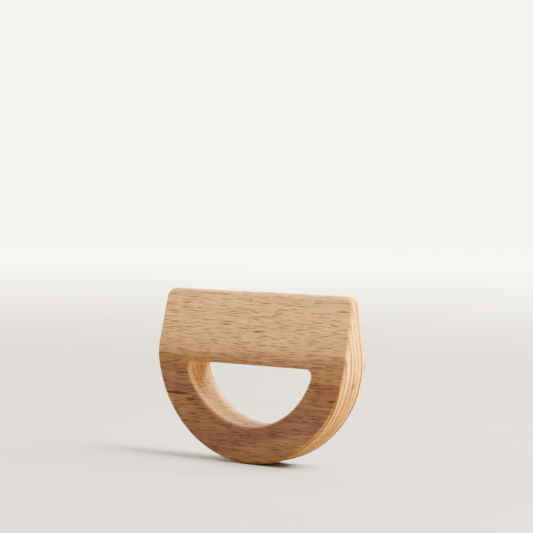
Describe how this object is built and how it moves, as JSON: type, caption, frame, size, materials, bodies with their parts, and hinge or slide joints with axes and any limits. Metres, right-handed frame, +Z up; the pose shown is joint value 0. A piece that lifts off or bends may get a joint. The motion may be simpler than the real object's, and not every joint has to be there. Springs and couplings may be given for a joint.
{
  "type": "baby rattle",
  "caption": "Half-moon wooden baby rattle with a hand opening, made of two glued halves that seal loose wooden balls in round sound chambers.",
  "frame": {"origin": "lowest point of the round rim, in the middle of the thickness and of the width, where the rattle touches what it stands on", "axes": "+X along the bar and the wood grain, -Y is the front face and +Y the back face, +Z up to the straight top edge"},
  "size_m": [0.09, 0.015, 0.0672],
  "materials": {
    "oiled_beech": "sanded and oiled, satin",
    "maple_ball": "turned and tumbled, satin"
  },
  "bodies": {
    "rattle_body": {"front_half": "oiled_beech", "back_half": "oiled_beech"},
    "ball_left_a": {"ball_left_a": "maple_ball"},
    "ball_left_b": {"ball_left_b": "maple_ball"},
    "ball_left_c": {"ball_left_c": "maple_ball"},
    "ball_middle_a": {"ball_middle_a": "maple_ball"},
    "ball_middle_b": {"ball_middle_b": "maple_ball"},
    "ball_middle_c": {"ball_middle_c": "maple_ball"},
    "ball_right_a": {"ball_right_a": "maple_ball"},
    "ball_right_b": {"ball_right_b": "maple_ball"},
    "ball_right_c": {"ball_right_c": "maple_ball"}
  },
  "joints": [
    {"name": "roll_left_a", "type": "hinge", "parent": "rattle_body", "child": "ball_left_a", "pos_m": [-0.022, 0, 0.0486], "axis": [0, 1, 0], "continuous": true},
    {"name": "roll_left_b", "type": "hinge", "parent": "rattle_body", "child": "ball_left_b", "pos_m": [-0.022, 0, 0.0486], "axis": [0, 1, 0], "continuous": true},
    {"name": "roll_left_c", "type": "hinge", "parent": "rattle_body", "child": "ball_left_c", "pos_m": [-0.022, 0, 0.0486], "axis": [0, 1, 0], "continuous": true},
    {"name": "roll_middle_a", "type": "hinge", "parent": "rattle_body", "child": "ball_middle_a", "pos_m": [0, 0, 0.0486], "axis": [0, 1, 0], "continuous": true},
    {"name": "roll_middle_b", "type": "hinge", "parent": "rattle_body", "child": "ball_middle_b", "pos_m": [0, 0, 0.0486], "axis": [0, 1, 0], "continuous": true},
    {"name": "roll_middle_c", "type": "hinge", "parent": "rattle_body", "child": "ball_middle_c", "pos_m": [0, 0, 0.0486], "axis": [0, 1, 0], "continuous": true},
    {"name": "roll_right_a", "type": "hinge", "parent": "rattle_body", "child": "ball_right_a", "pos_m": [0.022, 0, 0.0486], "axis": [0, 1, 0], "continuous": true},
    {"name": "roll_right_b", "type": "hinge", "parent": "rattle_body", "child": "ball_right_b", "pos_m": [0.022, 0, 0.0486], "axis": [0, 1, 0], "continuous": true},
    {"name": "roll_right_c", "type": "hinge", "parent": "rattle_body", "child": "ball_right_c", "pos_m": [0.022, 0, 0.0486], "axis": [0, 1, 0], "continuous": true}
  ],
  "couplings": [
    {"joint": "roll_left_b", "follows": "roll_left_a", "ratio": 1},
    {"joint": "roll_left_c", "follows": "roll_left_a", "ratio": 1},
    {"joint": "roll_middle_b", "follows": "roll_middle_a", "ratio": 1},
    {"joint": "roll_middle_c", "follows": "roll_middle_a", "ratio": 1},
    {"joint": "roll_right_b", "follows": "roll_right_a", "ratio": 1},
    {"joint": "roll_right_c", "follows": "roll_right_a", "ratio": 1}
  ]
}
